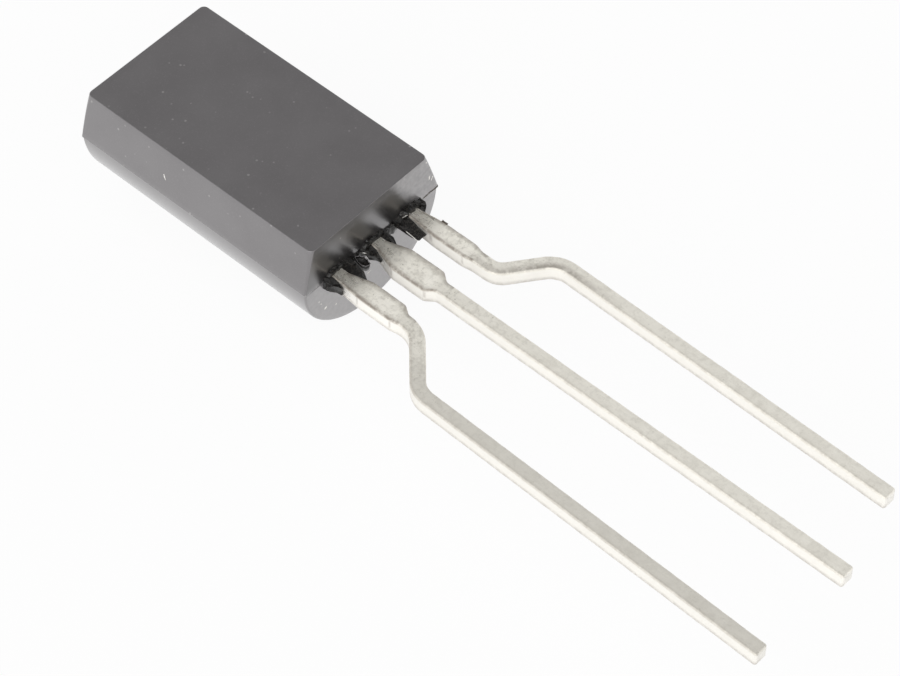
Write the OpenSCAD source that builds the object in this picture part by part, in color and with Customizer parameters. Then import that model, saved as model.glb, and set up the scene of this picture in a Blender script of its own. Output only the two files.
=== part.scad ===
// Three-lead transistor in a long-body moulded package, lying on its round back.
// x runs across the leads, y along them with the leads pointing to -y, z up through the flat face.
// The origin is the lowest point of the back, half way along the body. All sizes are in millimetres.

/* [Moulded body] */
// Width of the front half across the parting plane
body_width = 4.7; // [4.4:0.05:5.2]
// Width of the round half, a little less than the front half
back_width = 4.64; // [4.3:0.02:4.7]
// Length along the leads, at the parting plane
body_length = 7.64; // [7:0.02:8.6]
// Width of the flat front face
face_width = 4.03; // [3.6:0.01:4.3]
// Height of the front half above the parting plane
front_height = 1.3; // [1.1:0.02:1.6]
// Draft of the front half's end faces, in degrees
front_end_draft = 1.8; // [0.5:0.1:5]
// Draft of the round half's end faces, in degrees
back_end_draft = 3; // [1:0.1:6]
// Radius of the upright corners
corner_radius = 0.12; // [0.05:0.01:0.3]

/* [Lead strip] */
// Spacing of the leads where they leave the body
lead_pitch = 1.27; // [1.2:0.01:1.4]
// Thickness of the strip that the leads are punched from
lead_thickness = 0.44; // [0.35:0.01:0.5]
// Depth of the strip's middle below the parting plane
lead_drop = 0.12; // [0:0.01:0.2]
// Width of the thin part of every lead
lead_width = 0.39; // [0.35:0.01:0.5]
// Width of a lead where it leaves the resin
neck_width = 0.36; // [0.3:0.01:0.45]
// Length of the neck outside the resin
neck_length = 0.3; // [0.2:0.01:0.5]
// Length of the slope from the neck to the wide part
pad_slope = 0.65; // [0.3:0.05:0.8]
// Length of the wide part
pad_length = 1.03; // [0.7:0.01:1.4]
// Length of the shoulder between the wide part and the thin part
pad_shoulder = 0.24; // [0.15:0.01:0.3]
// Width of the emitter lead where the tie bar was cut away
emitter_pad_width = 0.61; // [0.5:0.01:0.7]
// Width of the collector lead where the tie bar was cut away
collector_pad_width = 0.77; // [0.6:0.01:0.9]
// Width of the base lead where the tie bar was cut away
base_pad_width = 0.51; // [0.45:0.01:0.7]

/* [Emitter lead] */
// Reach of the lead's tip beyond the body
emitter_length = 14.25; // [10:0.05:20]
// Outward shift of the neck and of the thin part from the lead's place in the row
emitter_shift = 0.06; // [-0.1:0.01:0.1]
// Straight length of thin lead before the kink
emitter_thin_run = 0.08; // [0:0.01:0.6]
// Slant of the kink from the lead's own line, in degrees
emitter_kink_angle = 47; // [35:1:60]
// Sideways offset that the kink gives
emitter_kink_offset = 1.32; // [1.1:0.01:1.6]
// Radius of the first bend, at the middle of the lead
emitter_first_radius = 0.85; // [0.4:0.01:0.9]
// Radius of the second bend, at the middle of the lead
emitter_second_radius = 0.74; // [0.4:0.01:0.9]
// Outward lean of the tail, in degrees
emitter_lean = 1.2; // [-3:0.1:3]

/* [Base lead] */
// Reach of the lead's tip beyond the body
base_length = 13.8; // [10:0.05:20]
// Outward shift of the neck and of the thin part from the lead's place in the row
base_shift = -0.01; // [-0.1:0.01:0.1]
// Straight length of thin lead before the kink
base_thin_run = 0.39; // [0:0.01:0.6]
// Slant of the kink from the lead's own line, in degrees
base_kink_angle = 52; // [35:1:60]
// Sideways offset that the kink gives
base_kink_offset = 1.21; // [1.1:0.01:1.6]
// Radius of the first bend, at the middle of the lead
base_first_radius = 0.48; // [0.3:0.01:0.9]
// Radius of the second bend, at the middle of the lead
base_second_radius = 0.75; // [0.3:0.01:0.9]
// Outward lean of the tail, in degrees
base_lean = -0.9; // [-3:0.1:3]

/* [Collector lead] */
// Reach of the lead's tip beyond the body
collector_length = 14.4; // [10:0.05:20]

/* [Inside the resin] */
// Width of the bonding post at the inner end of an outer lead
post_width = 0.8; // [0.6:0.05:1]
// Distance from the body's end to the start of the bonding posts
post_start = 0.9; // [0.7:0.05:1.2]
// Length of the bonding posts
post_length = 0.9; // [0.6:0.05:1]
// Gap between the bonding posts and the die paddle
paddle_gap = 0.45; // [0.3:0.05:0.6]
// Width of the die paddle
paddle_width = 3; // [2.4:0.1:3.4]
// Length of the die paddle
paddle_length = 3.8; // [3:0.1:4.2]
// Side of the square silicon die
die_side = 1; // [0.7:0.05:1.3]
// Thickness of the silicon die
die_thickness = 0.22; // [0.15:0.01:0.3]
// Thickness of the solder under the die
solder_thickness = 0.04; // [0.02:0.01:0.06]
// Distance from the paddle's edge to the die
die_setback = 0.5; // [0.3:0.05:0.8]
// Distance of each bond on the die from the die's middle
bond_offset = 0.26; // [0.15:0.01:0.3]
// Diameter of the bond wires
wire_diameter = 0.07; // [0.05:0.01:0.1]
// Rise of the bond wires above the line between their ends
wire_rise = 0.42; // [0.3:0.01:0.5]
// Diameter of the ball at the die end of a bond wire
ball_diameter = 0.14; // [0.1:0.01:0.18]
// Height of the ball at the die end of a bond wire
ball_height = 0.06; // [0.04:0.01:0.08]

/* [Resin flash] */
// Thickness of the resin left between the lead roots
flash_thickness = 0.3; // [0.2:0.01:0.36]
// Depth of the ragged lip along the row of leads
flash_lip = 0.14; // [0.05:0.01:0.3]

/* [Hidden] */
$fn = 64;

resin = "#5b595a";
tin = "#cfcdc6";
silicon = "#6f7782";
solder = "#9a9a98";
gold = "#d8b45a";

emitter_side = -1;
base_side = 1;

back_radius = back_width / 2;
parting_z = back_radius;
face_z = parting_z + front_height;
lead_z = parting_z - lead_drop;
lead_top_z = lead_z + lead_thickness / 2;
lead_end_y = -body_length / 2;
side_draft = atan((body_width - face_width) / 2 / front_height);

pad_end = neck_length + pad_slope + pad_length;
thin_start = pad_end + pad_shoulder;
emitter_straight = thin_start + emitter_thin_run;
base_straight = thin_start + base_thin_run;

post_end = post_start + post_length;
paddle_start = post_end + paddle_gap;
paddle_slope = paddle_gap / 2;
die_y = lead_end_y + paddle_start + die_setback + die_side / 2;
die_z = lead_top_z + solder_thickness;
die_top_z = die_z + die_thickness;

// How far a rounding or a bend stands off the flat faces that it joins
blend = 0.003;
// Angle by which a bend laps into the straight stretches at both of its ends
lap_angle = 2;
// Room that a cutting shape needs beyond what it cuts
spare = 1;
// Depth by which the flash and the wire ends are rooted in what they meet
root = 0.1;

// Tongues of flash beside the leads: lead (-1 emitter, 0 collector, 1 base), side, width, tip width, reach
FLASH = [
    [-1, -1, 0.32, 0.14, 0.58],
    [-1, 1, 0.34, 0.04, 0.88],
    [0, -1, 0.2, 0.05, 0.55],
    [0, 1, 0.2, 0.06, 0.62],
    [1, -1, 0.38, 0.34, 0.76],
    [1, 1, 0.24, 0.1, 0.3]
];

// Points of a strip that runs along y, from rows of [y, width, x of its middle]
function strip_outline(rows) = concat(
    [for (row = rows) [row[2] + row[1] / 2, row[0]]],
    [for (i = [len(rows) - 1:-1:0]) [rows[i][2] - rows[i][1] / 2, rows[i][0]]]
);

// Rows of the part of a lead that lies outside the resin, down to the end of its straight part
function outer_rows(pad_width, shift, straight) = [
    [0, neck_width, shift],
    [-neck_length, neck_width, shift],
    [-neck_length - pad_slope, pad_width, 0],
    [-pad_end, pad_width, 0],
    [-thin_start, lead_width, shift],
    [-straight, lead_width, shift]
];

// Rows of a bonding post, from its inner end to its neck
function post_rows(shift) = [
    [post_end, post_width, shift],
    [post_start, post_width, shift],
    [post_start - (post_width - neck_width) / 2, neck_width, shift]
];

// Rows of the die paddle and its stem, from the paddle's far edge to the stem
function paddle_rows() = [
    [paddle_start + paddle_length, paddle_width, 0],
    [paddle_start, paddle_width, 0],
    [paddle_start - paddle_slope, neck_width, 0]
];

function emitter_rows() = concat(
    post_rows(emitter_shift), outer_rows(emitter_pad_width, emitter_shift, emitter_straight)
);
function base_rows() = concat(
    post_rows(base_shift), outer_rows(base_pad_width, base_shift, base_straight)
);
function collector_rows() = concat(
    paddle_rows(), outer_rows(collector_pad_width, 0, collector_length)
);

// Puts a shape drawn from a lead's exit point, with x outwards, at the place of that lead in the row
module at_lead(position) {
    translate([position * lead_pitch, lead_end_y, lead_z])
        mirror([position < 0 ? 1 : 0, 0, 0]) children();
}

// A flat piece of the lead strip
module strip(rows) {
    linear_extrude(height = lead_thickness, center = true) polygon(strip_outline(rows));
}

// A straight stretch of thin lead that heads along -y
module run(length) {
    translate([-lead_width / 2, -length, -lead_thickness / 2])
        cube([lead_width, length, lead_thickness]);
}

// A bend in the plane of the strip: positive angles turn a lead that heads along -y towards +x
// It is a hair narrower than the straight stretches, and laps into both of them
module bend(angle, radius) {
    mirror([angle < 0 ? 1 : 0, 0, 0])
        translate([radius, 0, 0])
            rotate([0, 0, 180 - lap_angle])
                rotate_extrude(angle = abs(angle) + 2 * lap_angle)
                    translate([radius - lead_width / 2 + blend, -lead_thickness / 2])
                        square([lead_width - 2 * blend, lead_thickness]);
}

// Carries on from the far end of such a bend
module after_bend(angle, radius) {
    centre = sign(angle) * radius;
    translate([centre, 0, 0]) rotate([0, 0, angle]) translate([-centre, 0, 0]) children();
}

// The kink and tail of an outer lead, from the end of its straight part to the reach of its tip
module kinked_tail(angle, offset, first_radius, second_radius, lean, reach) {
    turn_back = angle - lean;
    first_tangent = first_radius * tan(angle / 2);
    second_tangent = second_radius * tan(turn_back / 2);
    slant = offset / sin(angle) - first_tangent - second_tangent;
    tail = (reach - first_tangent - offset / tan(angle)) / cos(lean) - second_tangent;
    bend(angle, first_radius);
    after_bend(angle, first_radius) {
        run(slant);
        translate([0, -slant, 0]) {
            bend(-turn_back, second_radius);
            after_bend(-turn_back, second_radius) run(tail);
        }
    }
}

module emitter_lead() {
    color(tin) at_lead(emitter_side) {
        strip(emitter_rows());
        translate([emitter_shift, -emitter_straight, 0])
            kinked_tail(
                emitter_kink_angle, emitter_kink_offset, emitter_first_radius, emitter_second_radius,
                emitter_lean, emitter_length - emitter_straight
            );
    }
}

module base_lead() {
    color(tin) at_lead(base_side) {
        strip(base_rows());
        translate([base_shift, -base_straight, 0])
            kinked_tail(
                base_kink_angle, base_kink_offset, base_first_radius, base_second_radius,
                base_lean, base_length - base_straight
            );
    }
}

module collector_lead() {
    color(tin) at_lead(0) strip(collector_rows());
}

module die_solder() {
    color(solder)
        translate([-die_side / 2, die_y - die_side / 2, lead_top_z])
            cube([die_side, die_side, solder_thickness]);
}

module silicon_die() {
    color(silicon)
        translate([-die_side / 2, die_y - die_side / 2, die_z])
            cube([die_side, die_side, die_thickness]);
}

// A wire that rises from a post to the die in one arc, before its ends are trimmed
module wire_arc(side, shift) {
    foot = [side * (lead_pitch + shift), lead_end_y + (post_start + post_end) / 2, lead_top_z];
    head = [side * bond_offset, die_y - die_side / 4, die_top_z];
    chord = head - foot;
    span = norm(chord);
    radius = (span * span / 4 + wire_rise * wire_rise) / (2 * wire_rise);
    half_angle = asin(span / 2 / radius) + asin(root / radius);
    translate((foot + head) / 2)
        rotate([0, -asin(chord[2] / span), atan2(chord[1], chord[0])])
            rotate([90, 0, 0])
                translate([0, wire_rise - radius, 0])
                    rotate([0, 0, 90 - half_angle])
                        rotate_extrude(angle = 2 * half_angle)
                            translate([radius, 0])
                                circle(d = wire_diameter, $fn = 24);
}

module bond_wire(side, shift) {
    difference() {
        union() {
            wire_arc(side, shift);
            translate([side * bond_offset, die_y - die_side / 4, die_top_z])
                cylinder(d = ball_diameter, h = ball_height, $fn = 32);
        }
        silicon_die();
        at_lead(side) strip(post_rows(shift));
    }
}

module emitter_bond_wire() {
    color(gold) bond_wire(emitter_side, emitter_shift);
}

module base_bond_wire() {
    color(gold) bond_wire(base_side, base_shift);
}

// The front half: a drafted block on the parting plane
module front_half() {
    half_length = body_length / 2;
    face_half = half_length - front_height * tan(front_end_draft);
    difference() {
        intersection() {
            rotate([90, 0, 0])
                linear_extrude(height = body_length + spare, center = true)
                    polygon([
                        [-body_width / 2, parting_z], [body_width / 2, parting_z],
                        [face_width / 2, face_z], [-face_width / 2, face_z]
                    ]);
            rotate([90, 0, 90])
                linear_extrude(height = body_width + spare, center = true)
                    polygon([
                        [-half_length, parting_z], [half_length, parting_z],
                        [face_half, face_z], [-face_half, face_z]
                    ]);
        }
        on_four_corners() front_corner_waste();
    }
}

// The round half: half a cylinder with drafted ends under the parting plane
module round_half() {
    half_length = body_length / 2;
    foot_half = half_length - back_radius * tan(back_end_draft);
    difference() {
        intersection() {
            rotate([90, 0, 0])
                translate([0, parting_z, 0])
                    cylinder(r = back_radius, h = body_length + spare, center = true, $fn = 128);
            rotate([90, 0, 90])
                linear_extrude(height = body_width + spare, center = true)
                    polygon([
                        [-half_length, parting_z], [half_length, parting_z],
                        [foot_half, 0], [foot_half, -root], [-foot_half, -root], [-foot_half, 0]
                    ]);
        }
        on_four_corners() back_corner_waste();
    }
}

// What is cut away outside the rounding of a corner, with the round's axis along z and the corner at +x, -y
module corner_waste(height) {
    difference() {
        translate([0, -spare, -height]) cube([spare, spare, 2 * height]);
        cylinder(r = corner_radius, h = 3 * height, center = true, $fn = 48);
    }
}

// Rounding of the front half's corner at +x, -y, along the slanting edge of the side and end faces
module front_corner_waste() {
    inset = corner_radius - blend;
    side_normal = [cos(side_draft), 0, sin(side_draft)];
    end_normal = [0, -cos(front_end_draft), sin(front_end_draft)];
    axis_shift = -(side_normal + end_normal) * inset / (1 + side_normal * end_normal);
    edge = cross(end_normal, side_normal);
    steep = edge / norm(edge) * sign(edge[2]);
    translate([body_width / 2, lead_end_y, parting_z] + axis_shift)
        rotate([-asin(steep[1]), atan2(steep[0], steep[2]), 0])
            corner_waste(2 * front_height);
}

// The same corner of the round half, upright through the parting plane
module back_corner_waste() {
    inset = corner_radius - blend;
    translate([back_radius - inset, lead_end_y + inset, parting_z]) corner_waste(2 * back_radius);
}

module on_four_corners() {
    for (across = [0, 1], along = [0, 1])
        mirror([across, 0, 0]) mirror([0, along, 0]) children();
}

// Resin that ran out along the leads in the mould and was broken off short
module resin_flash() {
    row = 2 * lead_pitch + neck_width;
    translate([0, lead_end_y, lead_z])
        linear_extrude(height = flash_thickness, center = true) {
            translate([-row / 2, -flash_lip]) square([row, flash_lip + root]);
            for (tongue = FLASH)
                translate([tongue[0] * lead_pitch, 0])
                    mirror([tongue[1] < 0 ? 1 : 0, 0])
                        polygon([
                            [0, root], [neck_width / 2 + tongue[2], root],
                            [neck_width / 2 + tongue[2], -tongue[4] / 2],
                            [neck_width / 2 + tongue[3], -tongue[4]], [0, -tongue[4]]
                        ]);
        }
}

module moulded_body() {
    color(resin) difference() {
        union() {
            front_half();
            round_half();
            resin_flash();
        }
        at_lead(emitter_side) strip(emitter_rows());
        at_lead(0) strip(collector_rows());
        at_lead(base_side) strip(base_rows());
        die_solder();
        silicon_die();
        emitter_bond_wire();
        base_bond_wire();
    }
}

moulded_body();
emitter_lead();
collector_lead();
base_lead();
silicon_die();
die_solder();
emitter_bond_wire();
base_bond_wire();
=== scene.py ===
"""Looks of a three-lead transistor in a long moulded package that lies on its round back."""

import math
import random

import bmesh
import bpy
from mathutils import Matrix, Vector, noise


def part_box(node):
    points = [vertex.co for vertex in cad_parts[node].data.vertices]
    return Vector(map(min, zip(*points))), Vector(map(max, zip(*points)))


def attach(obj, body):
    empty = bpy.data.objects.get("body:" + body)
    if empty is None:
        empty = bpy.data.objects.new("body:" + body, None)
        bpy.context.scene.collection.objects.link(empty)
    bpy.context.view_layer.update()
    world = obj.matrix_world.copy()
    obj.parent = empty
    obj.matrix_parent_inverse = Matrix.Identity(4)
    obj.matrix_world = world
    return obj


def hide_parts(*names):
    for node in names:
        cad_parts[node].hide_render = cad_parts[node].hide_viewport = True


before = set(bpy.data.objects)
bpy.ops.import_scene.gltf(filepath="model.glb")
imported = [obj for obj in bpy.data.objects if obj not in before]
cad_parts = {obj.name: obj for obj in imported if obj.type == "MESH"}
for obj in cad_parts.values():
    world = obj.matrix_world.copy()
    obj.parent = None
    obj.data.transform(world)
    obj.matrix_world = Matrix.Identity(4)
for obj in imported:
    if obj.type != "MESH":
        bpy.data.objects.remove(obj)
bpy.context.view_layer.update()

MM = 0.001
SEED = 92

# Sizes below are in millimetres. The first ones come from the frame.
_, body_high = (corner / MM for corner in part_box("moulded_body"))
lead_low, lead_high = (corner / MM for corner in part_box("collector_lead"))
HALF_WIDTH = body_high.x
HALF_LENGTH = body_high.y
FACE_Z = body_high.z
LEAD_Z = (lead_low.z + lead_high.z) / 2
LEAD_THICKNESS = lead_high.z - lead_low.z
LEAD_TOP = lead_high.z

# Moulded body
PARTING_RISE = 0.12
PARTING_Z = LEAD_Z + PARTING_RISE
BACK_RADIUS = 2.32
FACE_HALF_WIDTH = 2.015
FRONT_END_DRAFT = math.radians(1.8)
BACK_END_DRAFT = math.radians(3)
CORNER_RADIUS = 0.06
FACE_CORNER_RADIUS = 0.15
FACE_EDGE_RADIUS = 0.016
PARTING_EDGE_RADIUS = 0.012
BACK_END_INSET = 0.012
BACK_EDGE_RADIUS = 0.06
BACK_LINE_HALF = 0.01
WELD = 0.0005
# Largest corner radius, as a share of the half width
ROUNDEST = 0.98
# Weight of large faces in the normals of a piece with rounded edges
NORMAL_WEIGHT = 80
# Steps round a corner, across and along the body, round its back, up its sides and over its edges
CORNER_STEPS, ACROSS_STEPS, ALONG_STEPS = 7, 10, 16
BACK_STEPS, SIDE_STEPS, PARTING_EDGE_STEPS, FACE_EDGE_STEPS = 56, 8, 3, 5

# Painted shade and dark reflection of the leads and flash on the lead end: its edge leans over by this
# slope, and it fades between these two places
END_SHADE_SLANT = 0.61
END_SHADE_FULL, END_SHADE_NONE = 2.95, 3.25
END_SHADE_RAGGED = 0.3
# It ends this far below the parting line, and turns dull between these depths below the face
END_SHADE_FOOT = 0.1
DULL_FULL, DULL_NONE = 0.06, 0.36
DULLNESS = 0.5

# Pale specks lie about this far apart, and flecks this far above and below the parting line
SPECK_SPACING = 0.3
FLECK_ABOVE, FLECK_BELOW = 0.09, 0.05
# Painted reflection of the white floor makes the back half paler; it fades out over this height below the
# parting line
BACK_REFLECTION_FADE = 0.03

# Lead strip: lengths run outwards from the body's end, those of the posts and the paddle inwards
LEAD_PITCH = 1.27
LEAD_WIDTH = 0.39
NECK_WIDTH = 0.36
NECK_LENGTH = 0.3
PAD_SLOPE = 0.65
PAD_LENGTH = 1.03
PAD_SHOULDER = 0.24
PAD_START = NECK_LENGTH + PAD_SLOPE
PAD_END = PAD_START + PAD_LENGTH
THIN_START = PAD_END + PAD_SHOULDER
POST_WIDTH = 0.8
POST_START = 0.9
POST_END = 1.8
PADDLE_START = 2.25
PADDLE_LENGTH = 3.8
PADDLE_WIDTH = 3.0
PADDLE_SLOPE = 0.225
LEAD_EDGE_RADIUS = 0.045
LEAD_LEAST_RADIUS = 0.01
LEAD_ROUGHNESS = 0.005
LEAD_ROUGH_SIZE = 0.25
LEAD_BLEND = 0.05
TIP_RADIUS = 0.07
TIP_SHARES = (0.0, 0.25, 0.5, 0.72, 0.9, 1.0)
# Stations nearer to the tip than this give way to closer ones
TIP_LEFT_OUT = TIP_RADIUS * 1.01
RING_STEP = 0.05
ARC_STEPS = 4
FLAT_STEPS = 8

# Outer leads: shift, offset and lean are outwards, angles are in degrees
EMITTER = {
    "side": -1, "pad_width": 0.61, "shift": 0.06, "straight": THIN_START + 0.08, "reach": 14.25,
    "angle": 47, "offset": 1.32, "first_radius": 0.85, "second_radius": 0.74, "lean": 1.2,
}
BASE = {
    "side": 1, "pad_width": 0.51, "shift": -0.01, "straight": THIN_START + 0.39, "reach": 13.8,
    "angle": 52, "offset": 1.21, "first_radius": 0.48, "second_radius": 0.75, "lean": -0.9,
}
COLLECTOR_PAD_WIDTH = 0.77
COLLECTOR_REACH = 14.4

# Dark lines on the leads, mostly painted shade along their edges: shares on the points of a section from its
# top or flank over an edge
SEEN_LINE = (0.12, 0.85, 1.0, 1.0, 0.7, 0.2)
OTHER_LINE = (0.35, 0.56, 0.63, 0.63, 0.42, 0.14)
FOOT_LINE = (0.12, 0.3, 0.4, 0.4)
BEND_SHADE_LINE = (0.3, 0.55, 0.8, 1.0, 1.0, 0.5)
BEND_SHADE_FIRST = -3
# Their strengths at the root, on the pad and on the tail, at the tie-bar cuts and in the painted shade at
# the bend
ROOT_LINE, PAD_LINE, TAIL_LINE = 0.75, 0.85, 0.3
ROOT_LINE_END = PAD_START - 0.1
CUT_LINE = 0.4
BEND_SHADE_STRENGTH = 0.6
BEND_SHADE_FROM, BEND_SHADE_TO = 1.7, 6.4

# Places on the leads, out from the body's end: the darker root, with more pits and metal, ends between the
# first two; the tin is calm from here on
DARK_ROOT_FULL, DARK_ROOT_NONE = 0.7, 1.2
CALM_FROM = 5.5
CALM_SHARE = 0.4
# Painted shade: the emitter's tail top is darker beyond the first of these places across the part, and plain
# from the second
SHADED_TAIL_FULL, SHADED_TAIL_NONE = -2.3, -1.8
SHADED_TAIL_SHARE = 0.4
# Depths below the top of the leads where the flanks begin and the top ends; share of spots on flanks
FLANK_DEPTH, TOP_DEPTH = 0.07, 0.02
FLANK_SPOTS = 0.2

# Resin flash beside the leads: lead (-1 emitter, 0 collector, 1 base), side, width, tip width, reach, depth
FLASH = [
    (-1, -1, 0.24, 0.12, 0.46, 0.34),
    (-1, 1, 0.27, 0.03, 0.9, 0.24),
    (0, -1, 0.22, 0.12, 0.54, 0.2),
    (0, 1, 0.2, 0.06, 0.62, 0.24),
    (1, -1, 0.37, 0.3, 0.8, 0.16),
    (1, 1, 0.24, 0.1, 0.3, 0.34),
]
FLASH_THICKNESS = 0.3
FLASH_LIP = 0.14
FLASH_OVERLAP = 0.03
FLASH_SINK = 0.06
FLASH_FALL = 0.2
FLASH_JITTER = 0.027
# Rings of a slab of broken resin: scale of its outline, share of its height
SLAB_LEVELS = [(0.5, 0), (1, 0), (1, 0.33), (1, 0.67), (1, 1), (0.5, 1)]
SLAB_STEPS = 2

# Bubble in the flash between emitter and collector: place (x, out from the end), half sizes, rim
BUBBLE_PLACE = Vector((-0.64, 0.26))
BUBBLE_HALF = Vector((0.11, 0.2))
BUBBLE_RIM = 0.008
BUBBLE_POINTS = 20
BUBBLE_RAGGED = 0.3
BUBBLE_LOBES = 2.5
RIM_SIDES = 6
# Rings of the bubble: scale of its oval, depth below its top
BUBBLE_LEVELS = [(0.9, 0.2), (1.0, 0.1), (1.0, 0.02), (0.7, 0.05), (0.3, 0.08)]

# Crust of broken resin over the lead roots, and the burr on the parting line beside it
CRUST_FROM, CRUST_TO = -1.72, 1.72
CRUST_REACH = {-1: 0.1, 0: 0.14, 1: 0.19}
CRUST_SPREAD = 0.42
CRUST_FADE = 0.2
CRUST_RISE = 0.16
CRUST_STEPS, CRUST_JITTER = 64, 0.02
BURR_FROM, BURR_TO = 1.8, 2.34
BURR_SIZE, BURR_GROWTH = 0.005, 0.011
BURR_CREST = 0.8
BURR_WAVE, BURR_TURNS = 0.007, 16
BURR_STEPS, BURR_JITTER = 18, 0.005
# How deep a bar of broken resin is set into the body, and how far its profile is rounded
BAR_SINK = 0.04
BAR_ROUNDING = 0.02
# Shares of its reach at the lower corner, the upper corner and the top of its profile
BAR_LOWER, BAR_UPPER, BAR_TOP = 0.7, 0.8, 0.4

# Pale chips: place (x, z) on the end face, slant in degrees, length, width
END_CHIPS = [
    (-1.62, 1.2, 30, 0.16, 0.11),
    (-1.26, 1.0, 80, 0.08, 0.06),
    (-1.02, 1.09, 20, 0.06, 0.05),
    (-1.78, 1.5, 50, 0.06, 0.05),
    (-1.85, 1.65, 10, 0.05, 0.04),
    (-0.1, 1.16, 5, 0.18, 0.035),
    (2.04, 2.84, 75, 0.19, 0.075),
    (2.13, 2.75, 60, 0.17, 0.06),
    (1.97, 3.45, 40, 0.07, 0.035),
    (2.1, 3.17, 70, 0.06, 0.03),
]
# Pale flakes on the flash, painted glints along its edges: middle (x, out from the end, z), heading (x,
# out), length, width
FLASH_GLINTS = [
    ((0.735, 0.5, 2.33), (-0.08, 0.9), 0.85, 0.03),
    ((1.02, 0.14, 2.45), (0.9, 0.2), 0.3, 0.02),
    ((-0.46, 0.16, 2.4), (0.5, 0.8), 0.12, 0.025),
]
SLIVER_TOP = Vector((-2.187, 1.037, 2.955))
SLIVER_FOOT = Vector((-2.238, 0.918, 2.758))
SLIVER_WIDTH = 0.05
CHIP_HEIGHT = 0.012
CHIP_POINTS = 9
CHIP_LEAST, CHIP_MOST = 0.35, 0.55

# Crumb of resin on the outer edge of the base lead: place (x, y), half sizes, foot and top
CRUMB_PLACE = Vector((1.51, -4.78))
CRUMB_HALF = Vector((0.022, 0.085))
CRUMB_FOOT, CRUMB_TOP = 2.36, 2.435
CRUMB_JITTER = 0.01

# Colours, from dark to light where there are two
RESIN_TONES = (0.078, 0.0735, 0.0755), (0.096, 0.0915, 0.0935)
RESIN_GRAIN_TONE = (0.2, 0.193, 0.193)
# Painted reflection of the white floor: the lead end is paler, mottled between these tones
END_REFLECTION_TONES = (0.125, 0.12, 0.121), (0.205, 0.197, 0.198)
# Painted reflection of the white floor on the back half, and its share
BACK_REFLECTION_TONE = (0.18, 0.173, 0.174)
BACK_REFLECTION_SHARE = 0.35
# Painted shade and dark reflection of the leads on the lead end
END_SHADE_TONE = (0.006, 0.0055, 0.0055)
SPECK_TONE = (0.245, 0.238, 0.234)
FLECK_TONE = (0.3, 0.29, 0.28)
BROKEN_TONES = (0.008, 0.0075, 0.007), (0.05, 0.044, 0.038)
GLINT_TONE = (0.26, 0.24, 0.2)
PALE_TONES = (0.62, 0.6, 0.55), (0.95, 0.94, 0.91)
BROWN_TONES = (0.045, 0.036, 0.028), (0.19, 0.155, 0.125)
TIN_TONES = (0.91, 0.88, 0.795), (1.0, 0.97, 0.885)
STREAK_TONE = (0.7, 0.685, 0.64)
MOTTLE_TONE = (0.5, 0.47, 0.405)
FLANK_TONE = (0.93, 0.91, 0.87)
# Painted shade on the emitter's tail
SHADED_TAIL_TONE = (0.55, 0.525, 0.475)
PIT_TONE = (0.3, 0.27, 0.2)
# Dark lines on the lead edges, mostly painted shade
LINE_TONE = (0.21, 0.17, 0.138)
SILICON_TONES = (0.15, 0.17, 0.2), (0.2, 0.22, 0.26)
SOLDER_TONES = (0.42, 0.42, 0.41), (0.56, 0.56, 0.55)
GOLD_TONES = (0.8, 0.55, 0.2), (0.9, 0.65, 0.28)

# Camera, fitted to the edges of the body
CAMERA_PLACE = Vector((-35.24, -38.82, 62.0))
CAMERA_RIGHT = Vector((0.6716, -0.7409, -0.007))
CAMERA_FORWARD = Vector((0.4526, 0.4176, -0.7879))
CAMERA_LENS = 129.43
SENSOR_WIDTH = 36
CLIP_START, CLIP_END = 1, 10000

# Studio: white all round, with two dim panels (way to the middle, cosines at the rim and the core, level)
PANELS = [
    ((0.4526, 0.4176, 0.7879), 0.8, 0.96, 0.37),
    ((0.4526, -0.4176, 0.7879), 0.84, 0.96, 0.06),
]
SKY_LEVEL = 0.96
LAMP_PLACE = Vector((-180, -60, 100))
LAMP_SIZE = 240
LAMP_WATTS = 0.22
# Floor: side, colour, and the share of plain white in what the eye and reflections see of it
FLOOR_SIDE = 1200
FLOOR_TONE = (0.88, 0.88, 0.88, 1)
FLOOR_WHITE = 0.93
WHITE = (1, 1, 1, 1)


def add_node(tree, kind, **values):
    """A new shader node. Each value goes to the property or the input of that name."""
    made = tree.nodes.new(kind)
    for name, value in values.items():
        socket = made.inputs.get(name.replace("_", " "))
        if hasattr(made, name) and socket is None:
            setattr(made, name, value)
        elif isinstance(value, bpy.types.NodeSocket):
            tree.links.new(value, socket)
        else:
            socket.default_value = value
    return made


def feed(tree, node, values):
    """Links or sets the node's first inputs, one for each value."""
    for index, value in enumerate(values):
        if isinstance(value, bpy.types.NodeSocket):
            tree.links.new(value, node.inputs[index])
        else:
            node.inputs[index].default_value = value


def mix_colours(tree, share, first, second):
    """A colour between two colours, each of them a socket or three numbers."""
    made = tree.nodes.new("ShaderNodeMix")
    made.data_type = "RGBA"
    # The colours of this node are its inputs 6 and 7 and its output 2
    for index, value in ((0, share), (6, first), (7, second)):
        if isinstance(value, bpy.types.NodeSocket):
            tree.links.new(value, made.inputs[index])
        else:
            made.inputs[index].default_value = value if index == 0 else (*value, 1)
    return made.outputs[2]


def ramp(tree, value, low, high, to_low=0.0, to_high=1.0):
    """The value, stretched from one range to another and held at its ends."""
    made = tree.nodes.new("ShaderNodeMapRange")
    made.clamp = True
    feed(tree, made, (value, low, high, to_low, to_high))
    return made.outputs[0]


def place_ramp(tree, value, low, high, to_low=0.0, to_high=1.0):
    """The same for a place, with its range in millimetres."""
    return ramp(tree, value, low * MM, high * MM, to_low, to_high)


def out_ramp(tree, along, far, near, to_far=0.0, to_near=1.0):
    """The same for a place along the leads, with its range outwards from the body's end."""
    return place_ramp(tree, along, -(HALF_LENGTH + far), -(HALF_LENGTH + near), to_far, to_near)


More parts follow.
